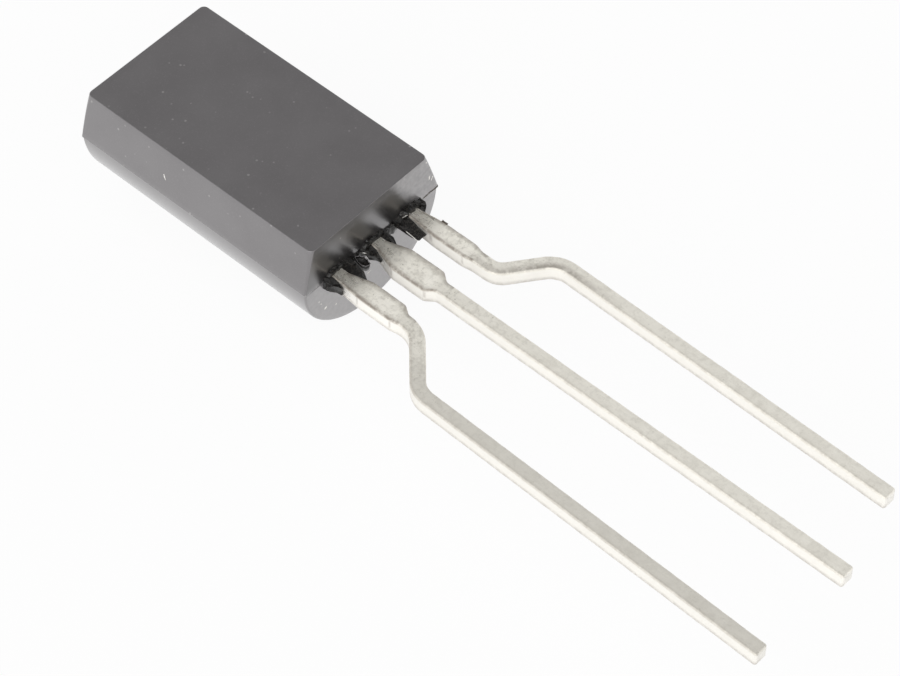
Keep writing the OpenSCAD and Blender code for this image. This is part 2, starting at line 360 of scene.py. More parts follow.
def maths(tree, operation, first, second):
    """A sum, product or comparison of two values."""
    made = tree.nodes.new("ShaderNodeMath")
    made.operation = operation
    feed(tree, made, (first, second))
    return made.outputs[0]


def product(tree, first, *others):
    """The product of all the values."""
    for other in others:
        first = maths(tree, "MULTIPLY", first, other)
    return first


def split(tree, vector):
    """The sockets X, Y and Z of a vector."""
    made = tree.nodes.new("ShaderNodeSeparateXYZ")
    tree.links.new(vector, made.inputs[0])
    return made.outputs


def new_material(name, **constants):
    """A material with one principled shader, its node tree and its place coordinates."""
    material = bpy.data.materials.new(name)
    material.use_nodes = True
    tree = material.node_tree
    shader = next(n for n in tree.nodes if n.type == "BSDF_PRINCIPLED")
    for socket, value in constants.items():
        shader.inputs[socket.replace("_", " ")].default_value = value
    place = tree.nodes.new("ShaderNodeTexCoord").outputs["Object"]
    return material, tree, shader, place


def noise_at(tree, place, size_mm, detail=2.0, roughness=0.5):
    """Noise whose features are about that size."""
    made = add_node(tree, "ShaderNodeTexNoise", Vector=place, Scale=1 / (size_mm * MM), Detail=detail,
                    Roughness=roughness)
    return made.outputs["Fac"]


def bump(tree, shader, height, depth_mm, strength):
    """Fine relief on the shader."""
    made = add_node(tree, "ShaderNodeBump", Height=height, Distance=depth_mm * MM, Strength=strength)
    tree.links.new(made.outputs["Normal"], shader.inputs["Normal"])


def painted_end_shade(tree, place, across, height):
    """Share of the painted shade and dark reflection of the leads: above the parting line and left of a
    slanted, ragged edge.
    """
    slant = maths(tree, "ADD", across, product(tree, height, END_SHADE_SLANT))
    ragged = product(tree, noise_at(tree, place, size_mm=0.12), END_SHADE_RAGGED * MM)
    end_shade = place_ramp(tree, maths(tree, "ADD", slant, ragged), END_SHADE_FULL, END_SHADE_NONE, 1.0, 0.0)
    return product(tree, end_shade, place_ramp(tree, height, PARTING_Z - END_SHADE_FOOT, PARTING_Z))


def dust_specks(tree, place):
    """Share of the pale specks, which lie in loose groups."""
    cells = add_node(tree, "ShaderNodeTexVoronoi", Vector=place, Scale=1 / (SPECK_SPACING * MM))
    specks = ramp(tree, cells.outputs["Distance"], 0.07, 0.13, 1.0, 0.0)
    return product(tree, specks, ramp(tree, noise_at(tree, place, size_mm=0.5), 0.5, 0.56))


def seam_flecks(tree, place, height):
    """Share of the pale flecks along the parting line."""
    above = place_ramp(tree, height, PARTING_Z, PARTING_Z + FLECK_ABOVE, 1.0, 0.0)
    below = place_ramp(tree, height, PARTING_Z - FLECK_BELOW, PARTING_Z)
    return product(tree, above, below, ramp(tree, noise_at(tree, place, size_mm=0.045), 0.6, 0.68))


def resin_material():
    """Satin dark-grey epoxy with fine grain, pale specks and flecks, painted reflections of the white floor
    that make its lead end and back half paler, and painted shade and dark reflection of the leads on its
    lead end.
    """
    material, tree, shader, place = new_material(
        "moulded_resin", IOR=1.95, Specular_Tint=(1, 0.955, 0.98, 1), Coat_Weight=1.0, Coat_IOR=1.6,
        Coat_Roughness=0.28,
    )
    across, _, height = split(tree, place)
    facing = split(tree, tree.nodes.new("ShaderNodeTexCoord").outputs["Normal"])["Y"]
    lead_end = ramp(tree, facing, -0.9, -0.97)
    clouds = noise_at(tree, place, size_mm=1.1, detail=4)
    grain = noise_at(tree, place, size_mm=0.035, detail=3, roughness=0.6)
    mottle = noise_at(tree, place, size_mm=0.11, detail=4, roughness=0.6)
    tone = mix_colours(tree, ramp(tree, clouds, 0.3, 0.7), *RESIN_TONES)
    tone = mix_colours(tree, ramp(tree, grain, 0.56, 0.8, 0.0, 0.5), tone, RESIN_GRAIN_TONE)
    # Painted reflection of the white floor: the lead end is paler
    end_reflection = mix_colours(tree, ramp(tree, mottle, 0.35, 0.65), *END_REFLECTION_TONES)
    tone = mix_colours(tree, lead_end, tone, end_reflection)
    # Painted reflection of the white floor: the back half is paler
    back_reflection = place_ramp(tree, height, PARTING_Z - BACK_REFLECTION_FADE, PARTING_Z, BACK_REFLECTION_SHARE, 0.0)
    tone = mix_colours(tree, back_reflection, tone, BACK_REFLECTION_TONE)
    # Painted shade and dark reflection of the leads on the lead end, above the parting line
    end_shade = product(tree, painted_end_shade(tree, place, across, height), lead_end)
    tone = mix_colours(tree, end_shade, tone, END_SHADE_TONE)
    tone = mix_colours(tree, dust_specks(tree, place), tone, SPECK_TONE)
    tone = mix_colours(tree, seam_flecks(tree, place, height), tone, FLECK_TONE)
    tree.links.new(tone, shader.inputs["Base Color"])
    dull = place_ramp(tree, height, FACE_Z - DULL_NONE, FACE_Z - DULL_FULL, 0.0, DULLNESS)
    satin = ramp(tree, grain, 0.55, 0.8, 0.3, 0.42)
    tree.links.new(maths(tree, "ADD", satin, product(tree, dull, end_shade)), shader.inputs["Roughness"])
    bump(tree, shader, grain, depth_mm=0.002, strength=0.1)
    return material


def broken_resin_material():
    """Black glassy resin where the flash was broken off."""
    material, tree, shader, place = new_material("broken_resin", Specular_IOR_Level=0.42)
    grain = noise_at(tree, place, size_mm=0.05, detail=4, roughness=0.7)
    tone = mix_colours(tree, ramp(tree, grain, 0.52, 0.68), *BROKEN_TONES)
    tone = mix_colours(tree, ramp(tree, grain, 0.68, 0.76), tone, GLINT_TONE)
    tree.links.new(tone, shader.inputs["Base Color"])
    tree.links.new(ramp(tree, grain, 0.3, 0.7, 0.18, 0.42), shader.inputs["Roughness"])
    bump(tree, shader, grain, depth_mm=0.008, strength=0.4)
    return material


def flake_material(name, dark, light):
    """Dull flaked resin, mottled between two tones."""
    material, tree, shader, place = new_material(name, Roughness=0.6)
    grain = noise_at(tree, place, size_mm=0.03)
    tone = mix_colours(tree, ramp(tree, grain, 0.35, 0.65), dark, light)
    tree.links.new(tone, shader.inputs["Base Color"])
    return material


def tin_pits(tree, place, root):
    """Share of the dark pits, which lie in groups and are thicker at the root."""
    pits = noise_at(tree, place, size_mm=0.05, detail=3, roughness=0.7)
    pits = maths(tree, "ADD", pits, product(tree, root, 0.06))
    groups = ramp(tree, noise_at(tree, place, size_mm=0.3), 0.42, 0.6)
    return product(tree, ramp(tree, pits, 0.6, 0.72, 0.0, 0.75), groups)


def edge_lines(tree, place):
    """Share of the dark lines that are marked on the mesh, mostly painted shade along the edges, broken up
    in places.
    """
    line = add_node(tree, "ShaderNodeAttribute", attribute_name="edge_line").outputs["Fac"]
    line_breakup = noise_at(tree, place, size_mm=0.16, detail=3, roughness=0.65)
    return product(tree, line, ramp(tree, line_breakup, 0.36, 0.56, 0.5, 1.0))


def tin_material():
    """Dull tin plate with streaks, blotches and pits, dark lines that are mostly painted shade along its
    edges, painted shade on the emitter's tail, and a darker root.
    """
    material, tree, shader, place = new_material("tin_plate")
    across, along, height = split(tree, place)
    on_top = place_ramp(tree, height, LEAD_TOP - FLANK_DEPTH, LEAD_TOP - TOP_DEPTH, FLANK_SPOTS, 1.0)
    calm = out_ramp(tree, along, CALM_FROM, THIN_START, CALM_SHARE, 1.0)
    root = out_ramp(tree, along, DARK_ROOT_NONE, DARK_ROOT_FULL)
    tail = out_ramp(tree, along, THIN_START, PAD_END, 1.0, 0.0)
    spotted = product(tree, on_top, calm)
    stretch = add_node(tree, "ShaderNodeMapping", Vector=place, Scale=(1, 0.18, 1))
    streaks = noise_at(tree, stretch.outputs["Vector"], size_mm=0.06, detail=4, roughness=0.6)
    blotches = noise_at(tree, place, size_mm=0.45, detail=4, roughness=0.6)
    mottle = noise_at(tree, place, size_mm=0.13, detail=5, roughness=0.65)
    tone = mix_colours(tree, ramp(tree, blotches, 0.3, 0.7), *TIN_TONES)
    tone = mix_colours(tree, ramp(tree, streaks, 0.5, 0.75, 0.0, 0.25), tone, STREAK_TONE)
    mottle = product(tree, ramp(tree, mottle, 0.46, 0.7, 0.0, 0.6), spotted)
    tone = mix_colours(tree, mottle, tone, MOTTLE_TONE)
    tone = mix_colours(tree, ramp(tree, on_top, FLANK_SPOTS, 1.0, 0.7, 0.0), tone, FLANK_TONE)
    # Painted shade on the top of the emitter's tail
    shaded_tail = place_ramp(tree, across, SHADED_TAIL_FULL, SHADED_TAIL_NONE, SHADED_TAIL_SHARE, 0.0)
    tone = mix_colours(tree, product(tree, shaded_tail, on_top), tone, SHADED_TAIL_TONE)
    tone = mix_colours(tree, product(tree, tin_pits(tree, place, root), spotted), tone, PIT_TONE)
    # Dark lines, mostly painted shade along the lead edges
    tone = mix_colours(tree, edge_lines(tree, place), tone, LINE_TONE)
    tree.links.new(tone, shader.inputs["Base Color"])
    metal = maths(tree, "ADD", product(tree, root, 0.6), product(tree, tail, 0.35))
    tree.links.new(maths(tree, "ADD", metal, 0.1), shader.inputs["Metallic"])
    dull = ramp(tree, streaks, 0.3, 0.7, 0.44, 0.58)
    tree.links.new(maths(tree, "SUBTRACT", dull, product(tree, root, 0.2)), shader.inputs["Roughness"])
    bump(tree, shader, streaks, depth_mm=0.003, strength=0.5)
    return material


def inner_material(name, tones, size_mm, metallic, roughness):
    """Plain grained finish for a piece that the resin seals in."""
    material, tree, shader, place = new_material(name, Metallic=metallic)
    grain = noise_at(tree, place, size_mm, detail=3)
    tree.links.new(mix_colours(tree, grain, *tones), shader.inputs["Base Color"])
    tree.links.new(ramp(tree, grain, 0.3, 0.7, roughness, roughness + 0.12), shader.inputs["Roughness"])
    return material


def add_piece(name, shape, material, smooth=True):
    """A piece from a shape drawn in millimetres. It rides on the part's one body."""
    bmesh.ops.recalc_face_normals(shape, faces=shape.faces)
    if shape.calc_volume(signed=True) < 0:
        bmesh.ops.reverse_faces(shape, faces=shape.faces)
    bmesh.ops.scale(shape, vec=(MM, MM, MM), verts=shape.verts)
    mesh = bpy.data.meshes.new(name)
    shape.to_mesh(mesh)
    shape.free()
    mesh.polygons.foreach_set("use_smooth", [smooth] * len(mesh.polygons))
    mesh.materials.append(material)
    made = bpy.data.objects.new(name, mesh)
    bpy.context.scene.collection.objects.link(made)
    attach(made, "root")
    return made


def weight_normals(piece):
    """Keeps flat faces flat beside their rounded edges."""
    modifier = piece.modifiers.new("weighted", "WEIGHTED_NORMAL")
    modifier.weight = NORMAL_WEIGHT


def join_rings(shape, rings):
    """Skins a row of rings that have equal numbers of points, caps both ends and returns their points."""
    rows = [[shape.verts.new(point) for point in ring] for ring in rings]
    for below, above in zip(rows, rows[1:]):
        for i in range(len(below)):
            j = (i + 1) % len(below)
            shape.faces.new((below[i], below[j], above[j], above[i]))
    shape.faces.new(list(reversed(rows[0])))
    shape.faces.new(rows[-1])
    return rows


def body_ring(half_x, half_y, radius, z):
    """A level outline of the body, with round corners."""
    radius = min(radius, half_x * ROUNDEST)
    points = []
    for quarter, (sx, sy) in enumerate(((1, -1), (1, 1), (-1, 1), (-1, -1))):
        centre = Vector((sx * (half_x - radius), sy * (half_y - radius), z))
        for step in range(CORNER_STEPS + 1):
            angle = math.radians(90 * (quarter - 1 + step / CORNER_STEPS))
            points.append(centre + radius * Vector((math.cos(angle), math.sin(angle), 0)))
        straight = 2 * ((half_y if quarter % 2 == 0 else half_x) - radius)
        steps = ALONG_STEPS if quarter % 2 == 0 else ACROSS_STEPS
        start, heading = points[-1], Vector((-math.sin(angle), math.cos(angle), 0))
        points.extend(start + heading * straight * k / steps for k in range(1, steps))
    return points


def back_rings():
    """Level outlines of the round back, from its lowest line up to the parting line."""
    rings = []
    for step in range(BACK_STEPS, -1, -1):
        turn = math.pi / 2 * step / BACK_STEPS
        depth = BACK_RADIUS * math.sin(turn)
        height = BACK_RADIUS - depth
        rounding = 0.0
        if height < BACK_EDGE_RADIUS:
            rounding = BACK_EDGE_RADIUS - math.sqrt(BACK_EDGE_RADIUS**2 - (BACK_EDGE_RADIUS - height) ** 2)
        half_x = max(BACK_RADIUS * math.cos(turn), BACK_LINE_HALF)
        half_y = HALF_LENGTH - BACK_END_INSET - depth * math.tan(BACK_END_DRAFT) - rounding
        rings.append(body_ring(half_x, half_y, CORNER_RADIUS, PARTING_Z - depth))
    return rings


def front_ring(z, inset):
    """A level outline of the front half, drawn in by the inset."""
    rise = z - PARTING_Z
    side_slope = (HALF_WIDTH - FACE_HALF_WIDTH) / (FACE_Z - PARTING_Z)
    share = (rise / (FACE_Z - PARTING_Z)) ** 3
    radius = CORNER_RADIUS + (FACE_CORNER_RADIUS - CORNER_RADIUS) * share
    half_x = HALF_WIDTH - rise * side_slope - inset
    half_y = HALF_LENGTH - rise * math.tan(FRONT_END_DRAFT) - inset
    return body_ring(half_x, half_y, radius - inset, z)


def front_rings():
    """Level outlines of the front half, from the parting line up to the face."""
    rings = []
    for step in range(PARTING_EDGE_STEPS + 1):
        angle = math.pi / 2 * step / PARTING_EDGE_STEPS
        inset = PARTING_EDGE_RADIUS * (1 - math.sin(angle))
        rings.append(front_ring(PARTING_Z + PARTING_EDGE_RADIUS * (1 - math.cos(angle)), inset))
    low, high = PARTING_Z + PARTING_EDGE_RADIUS, FACE_Z - FACE_EDGE_RADIUS
    rings.extend(front_ring(low + (high - low) * k / SIDE_STEPS, 0) for k in range(1, SIDE_STEPS))
    for step in range(FACE_EDGE_STEPS + 1):
        angle = math.pi / 2 * step / FACE_EDGE_STEPS
        z = high + FACE_EDGE_RADIUS * math.sin(angle)
        rings.append(front_ring(z, FACE_EDGE_RADIUS * (1 - math.cos(angle))))
    return rings


def build_body(material):
    """The moulded body, skinned over its level outlines."""
    shape = bmesh.new()
    join_rings(shape, back_rings() + front_rings())
    bmesh.ops.remove_doubles(shape, verts=shape.verts, dist=WELD)
    body = add_piece("resin_body", shape, material)
    weight_normals(body)
    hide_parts("moulded_body")


def value_at(rows, y, column):
    """The value in that column of rows that start with y, between the two nearest rows."""
    for first, second in zip(rows, rows[1:]):
        if first[0] >= y >= second[0]:
            share = (first[0] - y) / max(first[0] - second[0], 1e-9)
            return first[column] + (second[column] - first[column]) * share
    return rows[-1][column]


def smooth_value(rows, y, column):
    """The same, with the corners between rows rounded a little."""
    return sum(value_at(rows, y + LEAD_BLEND * k / 2, column) for k in range(-2, 3)) / 5


def outer_rows(pad_width, shift, straight):
    """Rows of y, width and sideways shift for the straight part of a lead outside the resin."""
    return [
        (0, NECK_WIDTH, shift),
        (-NECK_LENGTH, NECK_WIDTH, shift),
        (-NECK_LENGTH - PAD_SLOPE, pad_width, 0),
        (-PAD_END, pad_width, 0),
        (-THIN_START, LEAD_WIDTH, shift),
        (-straight, LEAD_WIDTH, shift),
    ]


def post_rows(shift):
    """The same for the bonding post of an outer lead inside the resin."""
    return [
        (POST_END, POST_WIDTH, shift),
        (POST_START, POST_WIDTH, shift),
        (POST_START - (POST_WIDTH - NECK_WIDTH) / 2, NECK_WIDTH, shift),
    ]


def paddle_rows():
    """The same for the collector's paddle inside the resin."""
    return [
        (PADDLE_START + PADDLE_LENGTH, PADDLE_WIDTH, 0),
        (PADDLE_START, PADDLE_WIDTH, 0),
        (PADDLE_START - PADDLE_SLOPE, NECK_WIDTH, 0),
    ]


def straight_stations(rows):
    """Stations (place, heading, width) down the straight part of a lead."""
    top, bottom = rows[0][0], rows[-1][0]
    count = math.ceil((top - bottom) / RING_STEP)
    for k in range(count + 1):
        y = top + (bottom - top) * k / count
        yield Vector((smooth_value(rows, y, 2), y, 0)), Vector((0, -1, 0)), smooth_value(rows, y, 1)


def turned(vector, angle):
    """The vector, turned about the upright axis."""
    return Matrix.Rotation(angle, 3, "Z") @ vector


def run_stations(place, heading, length):
    """Stations of a straight run from that place."""
    count = max(1, math.ceil(length / RING_STEP))
    return [(place + heading * length * k / count, heading, LEAD_WIDTH) for k in range(1, count + 1)]


def bend_stations(place, heading, angle, radius):
    """Stations of a round bend from that place."""
    count = max(2, math.ceil(abs(angle) * radius / RING_STEP))
    side = math.copysign(1, angle)
    centre = place + turned(heading, side * math.pi / 2) * radius
    arm = place - centre
    return [
        (centre + turned(arm, angle * k / count), turned(heading, angle * k / count), LEAD_WIDTH)
        for k in range(1, count + 1)
    ]


def kink_stations(lead, start):
    """Stations of the kink and tail of an outer lead, with x outwards."""
    angle, lean = math.radians(lead["angle"]), math.radians(lead["lean"])
    back = angle - lean
    first_tangent = lead["first_radius"] * math.tan(angle / 2)
    second_tangent = lead["second_radius"] * math.tan(back / 2)
    slant = lead["offset"] / math.sin(angle) - first_tangent - second_tangent
    fall = lead["reach"] - lead["straight"] - first_tangent - lead["offset"] / math.tan(angle)
    tail = fall / math.cos(lean) - second_tangent
    stations = bend_stations(start, Vector((0, -1, 0)), angle, lead["first_radius"])
    stations += run_stations(*stations[-1][:2], slant)
    stations += bend_stations(*stations[-1][:2], -back, lead["second_radius"])
    stations += run_stations(*stations[-1][:2], tail)
    return stations


def tip_stations(stations):
    """The stations, with closer ones near the tip, where the cut edge is rounded."""
    place, heading, width = stations[-1]
    kept = [s for s in stations if (s[0] - place).length > TIP_LEFT_OUT]
    return kept + [(place - heading * TIP_RADIUS * (1 - share), heading, width) for share in TIP_SHARES]


def strip_ring(place, heading, width, inset):
    """A section of the strip with round edges, square to its heading."""
    side = Vector((-heading.y, heading.x, 0))
    half_u, half_v = width / 2 - inset, LEAD_THICKNESS / 2 - inset
    radius = max(LEAD_EDGE_RADIUS - inset / 2, LEAD_LEAST_RADIUS)
    points = []
    for quarter, (su, sv) in enumerate(((1, -1), (1, 1), (-1, 1), (-1, -1))):
        for step in range(ARC_STEPS + 1):
            angle = math.radians(90 * (quarter - 1 + step / ARC_STEPS))
            u = su * (half_u - radius) + radius * math.cos(angle)
            v = sv * (half_v - radius) + radius * math.sin(angle)
            points.append(place + side * u + Vector((0, 0, v)))
        straight = 2 * ((half_v if quarter % 2 == 0 else half_u) - radius)
        start, along = points[-1], -math.sin(angle) * side + Vector((0, 0, math.cos(angle)))
        points.extend(start + along * straight * k / FLAT_STEPS for k in range(1, FLAT_STEPS))
    return points


def upper_edge(side, shares, first=0):
    """Shares of a line on a ring's points, from its top face over its upper edge on that side."""
    turn = ARC_STEPS + FLAT_STEPS
    if side < 0:
        return {2 * turn - 1 + first + k: share for k, share in enumerate(shares)}
    return {turn + ARC_STEPS + 1 - first - k: share for k, share in enumerate(shares)}


def lower_edge(side, shares):
    """Shares of a line on a ring's points, from its flank over its lower edge on that side."""
    if side < 0:
        return {3 * (ARC_STEPS + FLAT_STEPS) - 2 + k: share for k, share in enumerate(shares)}
    return {ARC_STEPS + 2 - k: share for k, share in enumerate(shares)}


def flank_points(side):
    """Points of a ring on its flank on that side."""
    turn = ARC_STEPS + FLAT_STEPS
    return range(2 * turn + 3, 3 * turn + 1) if side < 0 else range(ARC_STEPS, turn + 2)


def line_strength(out):
    """Strength of the dark edge line at that length outside the resin."""
    if out < ROOT_LINE_END:
        return ROOT_LINE
    return PAD_LINE if out < THIN_START else TAIL_LINE


def bend_shade_strength(out, position):
    """Strength of the painted shade beside the edge line where the base lead is bent."""
    if position <= 0 or not BEND_SHADE_FROM < out < BEND_SHADE_TO:
        return 0.0
    return BEND_SHADE_STRENGTH * math.sin(math.pi * (out - BEND_SHADE_FROM) / (BEND_SHADE_TO - BEND_SHADE_FROM))


def draw_lines(rows, lengths, layer, side, position):
    """Marks the dark lines on the edges, mostly painted shade, the painted shade beside the bent base lead's
    edge, and the two lines where the tie bar was cut.
    """
    seen_edge = upper_edge(-side, SEEN_LINE)
    other_edge = upper_edge(side, OTHER_LINE)
    bend_shade = upper_edge(-side, BEND_SHADE_LINE, BEND_SHADE_FIRST)
    foot_line = lower_edge(-side, FOOT_LINE)
    for row, out in zip(rows, lengths):
        shades = {index: share * line_strength(out) for index, share in seen_edge.items()}
        if NECK_LENGTH < out < THIN_START + PAD_SHOULDER:
            shades.update(other_edge)
        for index, share in bend_shade.items():
            shades[index] = max(shades.get(index, 0.0), share * bend_shade_strength(out, position))
        if min(abs(out - PAD_START), abs(out - PAD_END)) < RING_STEP / 2:
            shades.update({index: CUT_LINE for index in flank_points(-side)})
        shades.update(foot_line)
        for index, shade in shades.items():
            row[index][layer] = shade


def roughen(shape, amount, size):
    """Moves points along their normals by smooth noise, so that light breaks up on the metal."""
    shape.normal_update()
    for vertex in shape.verts:
        place = vertex.co / size
        vertex.co += vertex.normal * amount * noise.fractal(place, 1.0, 2.0, 3)


def build_lead(name, node, stations, position, side, material):
    """A lead from its stations, drawn from the point where it leaves the body with x outwards."""
    lengths = [0.0]
    for first, second in zip(stations, stations[1:]):
        lengths.append(lengths[-1] + (second[0] - first[0]).length)
    rings = []
    for (place, heading, width), length in zip(stations, lengths):
        to_tip = lengths[-1] - length
        inset = 0.0
        if to_tip < TIP_RADIUS:
            inset = TIP_RADIUS - math.sqrt(max(TIP_RADIUS**2 - (TIP_RADIUS - to_tip) ** 2, 0))
        rings.append(strip_ring(place, heading, width, inset))
    shape = bmesh.new()
    layer = shape.verts.layers.float.new("edge_line")
    rows = join_rings(shape, rings)
    draw_lines(rows, [length - stations[0][0].y for length in lengths], layer, side, position)
    roughen(shape, LEAD_ROUGHNESS, LEAD_ROUGH_SIZE)
    offset = Vector((position * LEAD_PITCH, -HALF_LENGTH, LEAD_Z))
    for vertex in shape.verts:
        vertex.co.x *= side
        vertex.co += offset
    lead = add_piece(name, shape, material)
    weight_normals(lead)
    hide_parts(node)


def build_leads(material):
    """The two kinked outer leads and the straight middle one."""
    for name, lead in (("emitter_lead", EMITTER), ("base_lead", BASE)):
        rows = post_rows(lead["shift"]) + outer_rows(lead["pad_width"], lead["shift"], lead["straight"])
        stations = list(straight_stations(rows))
        stations += kink_stations(lead, stations[-1][0])
        build_lead(name + "_tinned", name, tip_stations(stations), lead["side"], lead["side"], material)
    rows = paddle_rows() + outer_rows(COLLECTOR_PAD_WIDTH, 0, COLLECTOR_REACH)
    stations = tip_stations(list(straight_stations(rows)))
    build_lead("collector_lead_tinned", "collector_lead", stations, 0, 1, material)


def shaken(place, draw, jitter):
    """The place, moved at random by up to the jitter along each axis."""
    return place + Vector((draw.uniform(-jitter, jitter) for _ in range(3)))


def faceted(rings):
    """A shape with flat triangles over the rings."""
    shape = bmesh.new()
    join_rings(shape, rings)
    bmesh.ops.triangulate(shape, faces=shape.faces)
    return shape


def ragged_slab(outline, low, high, fall, draw, jitter):
    """A slab of broken resin with facets and ragged edges. Its top falls away from the body."""
    rim = []
    for first, second in zip(outline, outline[1:] + outline[:1]):
        rim.extend(Vector(first).lerp(Vector(second), k / SLAB_STEPS) for k in range(SLAB_STEPS))
    middle = sum(rim, Vector((0, 0))) / len(rim)
    rings = []
    for scale, rise in SLAB_LEVELS:
        ring = []
        for point in rim:
            x, y = middle + (point - middle) * scale
            top = high + fall * (y + HALF_LENGTH)
            ring.append(shaken(Vector((x, y, low + (top - low) * rise)), draw, jitter))
        rings.append(ring)
    return faceted(rings)


def ragged_bar(start, end, steps, section, draw, jitter):
    """A bar of broken resin across the end face. The section gives its reach, foot and top at each x."""
    rings = []
    for step in range(steps + 1):
        x = start + (end - start) * step / steps
        reach, foot, top = section(x)
        over = max(0.0, x - (HALF_WIDTH - CORNER_RADIUS))
        surface = -HALF_LENGTH + CORNER_RADIUS - math.sqrt(max(CORNER_RADIUS**2 - over**2, 0))
        profile = [
            (-BAR_SINK, foot), (reach * BAR_LOWER, foot + BAR_ROUNDING), (reach, (foot + top) / 2),
            (reach * BAR_UPPER, top - BAR_ROUNDING), (reach * BAR_TOP, top), (-BAR_SINK, top + BAR_ROUNDING),
        ]
        rings.append([shaken(Vector((x, surface - out, z)), draw, jitter) for out, z in profile])
    return faceted(rings)


def crust_section(x):
    """Reach, foot and top of the crust: it is thickest over the lead roots."""
    lead = min(CRUST_REACH, key=lambda position: abs(x - position * LEAD_PITCH))
    near = min(1.0, max(0.0, (CRUST_SPREAD - abs(x - lead * LEAD_PITCH)) / CRUST_FADE))
    reach = FLASH_LIP / 2 + (CRUST_REACH[lead] - FLASH_LIP / 2) * near
    return reach, LEAD_Z - FLASH_THICKNESS / 2, LEAD_Z + FLASH_THICKNESS / 2 + CRUST_RISE * near


def burr_section(x):
    """Reach, foot and top of the burr: it wavers and grows towards the corner."""
    size = BURR_SIZE + BURR_GROWTH * (x - BURR_FROM) / (BURR_TO - BURR_FROM)
    middle = PARTING_Z + BURR_WAVE * math.sin(BURR_TURNS * x)
    return size, middle - size, middle + size * BURR_CREST


def build_flash(material, brown):
    """Broken tongues of flash beside the leads, the crust over the lead roots and the burr."""
    draw = random.Random(SEED)
    inner = NECK_WIDTH / 2 - FLASH_OVERLAP
    for index, (lead, side, width, tip_width, reach, depth) in enumerate(FLASH):
        outer, tip = NECK_WIDTH / 2 + width, NECK_WIDTH / 2 + tip_width
        corners = [
            (inner, FLASH_SINK), (outer, FLASH_SINK), (outer, -reach / 2), (tip, -reach), (inner, -reach),
        ]
        outline = [(lead * LEAD_PITCH + side * x, y - HALF_LENGTH) for x, y in corners]
        shape = ragged_slab(outline, LEAD_TOP - depth, LEAD_TOP, FLASH_FALL, draw, FLASH_JITTER)
        add_piece(f"flash_tongue_{index + 1}", shape, material, smooth=False)
    shape = ragged_bar(CRUST_FROM, CRUST_TO, CRUST_STEPS, crust_section, draw, CRUST_JITTER)
    add_piece("flash_lip", shape, material, smooth=False)
    shape = ragged_bar(BURR_FROM, BURR_TO, BURR_STEPS, burr_section, draw, BURR_JITTER)
    add_piece("parting_burr", shape, brown, smooth=False)


def build_crumb(material):
    """A crumb of resin on the edge of the base lead."""
    draw = random.Random(SEED + 2)
    corners = ((-1, -1), (1, -1), (1, 1), (-1, 1))
    outline = [tuple(CRUMB_PLACE + CRUMB_HALF * Vector(corner)) for corner in corners]
    shape = ragged_slab(outline, CRUMB_FOOT, CRUMB_TOP, 0.0, draw, CRUMB_JITTER)
    add_piece("edge_crumb", shape, material, smooth=False)


def bubble_ring(scale, z):
    """Points round the bubble's oval at that height."""
    points = []
    for k in range(BUBBLE_POINTS):
        angle = 2 * math.pi * k / BUBBLE_POINTS
        turn = Vector((math.cos(angle), math.sin(angle), 0))
        reach = scale * (1 + BUBBLE_RAGGED * noise.noise(turn * BUBBLE_LOBES))
        x = BUBBLE_PLACE.x + BUBBLE_HALF.x * reach * turn.x
        y = -HALF_LENGTH - BUBBLE_PLACE.y - BUBBLE_HALF.y * reach * turn.y
        points.append(Vector((x, y, z)))
    return points


def build_bubble(dark, grey):
    """An oval of black resin with a thin grey rim, where a bubble broke open in the flash."""
    top = LEAD_Z + FLASH_THICKNESS / 2
    shape = bmesh.new()
    join_rings(shape, [bubble_ring(scale, top - depth) for scale, depth in BUBBLE_LEVELS])
    add_piece("flash_bubble", shape, dark)
    shape = bmesh.new()
    rows = []
    for side in range(RIM_SIDES):
        angle = 2 * math.pi * side / RIM_SIDES
        scale = 1 + BUBBLE_RIM * math.cos(angle) / BUBBLE_HALF.x
        rows.append([shape.verts.new(p) for p in bubble_ring(scale, top + BUBBLE_RIM * math.sin(angle))])
    for first, second in zip(rows, rows[1:] + rows[:1]):
        for k in range(BUBBLE_POINTS):
            after = (k + 1) % BUBBLE_POINTS
            shape.faces.new((first[k], first[after], second[after], second[k]))
    add_piece("flash_bubble_rim", shape, grey)


def end_place(x, z):
    """A point on the drafted end face that the leads leave."""
    if z > PARTING_Z:
        inset = (z - PARTING_Z) * math.tan(FRONT_END_DRAFT)
    else:
        inset = BACK_END_INSET + (PARTING_Z - z) * math.tan(BACK_END_DRAFT)
    return Vector((x, inset - HALF_LENGTH, z))


def add_chip(shape, place, along, normal, length, width, draw):
    """A flake with a ragged rim that lies on a surface."""
    across = normal.cross(along).normalized()
    crown = shape.verts.new(place + normal * CHIP_HEIGHT)
    rim = []
    for k in range(CHIP_POINTS):
        angle = 2 * math.pi * k / CHIP_POINTS
        arm = along * math.cos(angle) * length + across * math.sin(angle) * width
        reach = draw.uniform(CHIP_LEAST, CHIP_MOST)
        rim.append(shape.verts.new(place + arm * reach - normal * CHIP_HEIGHT / 4))
    for first, second in zip(rim, rim[1:] + rim[:1]):
        shape.faces.new((crown, first, second))
    shape.faces.new(list(reversed(rim)))


